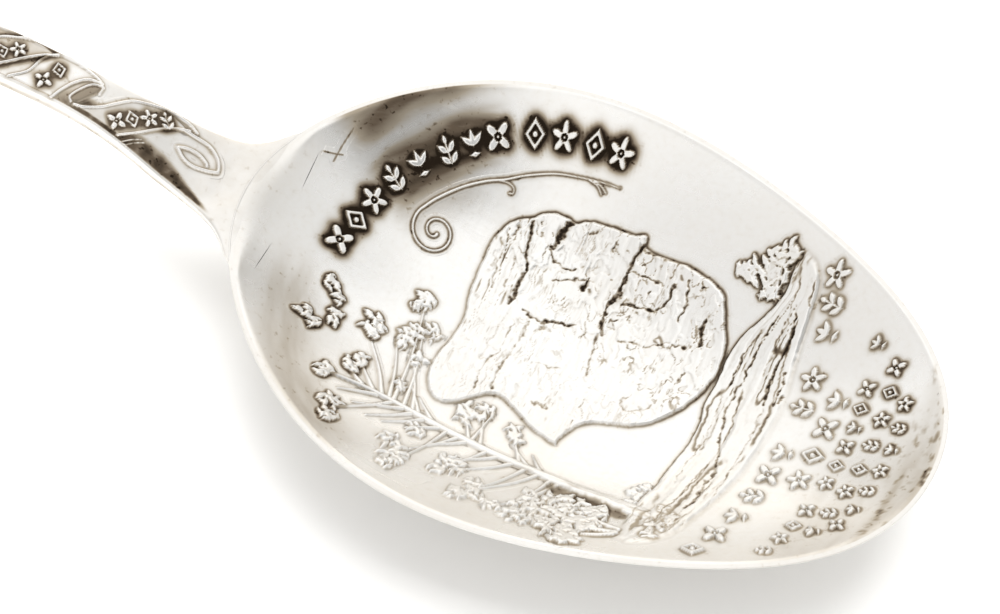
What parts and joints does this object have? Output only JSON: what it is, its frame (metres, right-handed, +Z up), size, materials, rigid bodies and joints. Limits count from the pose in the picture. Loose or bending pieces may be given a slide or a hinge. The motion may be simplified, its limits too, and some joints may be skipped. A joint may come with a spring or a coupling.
{
  "type": "souvenir spoon",
  "caption": "Small silver souvenir teaspoon with an egg-shaped bowl, a landscape and rows of small ornaments in relief inside it, and an arched ribbon-wrapped handle.",
  "frame": {"origin": "middle of the bounding box's underside, on the table that the spoon lies on, bowl up", "axes": "+X along the spoon from the handle's end to the bowl's tip, +Y across, +Z up"},
  "size_m": [0.146, 0.0316, 0.0131],
  "materials": {
    "bowl_silver": "sterling silver, soft polish with fine wear, pale brown tarnish towards the shoulders",
    "bowl_relief_silver": "sterling silver, bright tops and dark oxidised recesses",
    "handle_silver": "sterling silver, satin with oxidised ground",
    "handle_relief_silver": "sterling silver, bright raised tops"
  },
  "bodies": {
    "root": {"boulder_relief": "bowl_relief_silver", "bowl": "bowl_silver", "bush_relief": "bowl_relief_silver", "end_border_relief": "handle_relief_silver", "end_leaves_relief": "handle_relief_silver", "end_rosette_relief": "handle_relief_silver", "handle_end": "handle_silver", "heel_drop": "bowl_silver", "leaf_loop_relief": "handle_relief_silver", "ledge_relief": "bowl_relief_silver", "loose_sprigs_relief": "bowl_relief_silver", "lower_ornaments_1": "bowl_relief_silver", "lower_ornaments_2": "bowl_relief_silver", "lower_ornaments_3": "bowl_relief_silver", "lower_ornaments_4": "bowl_relief_silver", "lower_ornaments_5": "bowl_relief_silver", "neck": "handle_silver", "ribbon_lower_relief": "handle_relief_silver", "ribbon_upper_relief": "handle_relief_silver", "shrub_relief": "bowl_relief_silver", "stem": "handle_silver", "stem_ribbon_relief": "handle_relief_silver", "title_ornaments": "bowl_relief_silver", "tree_branches_relief": "bowl_relief_silver", "tree_foliage_relief": "bowl_relief_silver", "tree_trunk_relief": "bowl_relief_silver", "vine_scroll_relief": "bowl_relief_silver"}
  },
  "joints": []
}
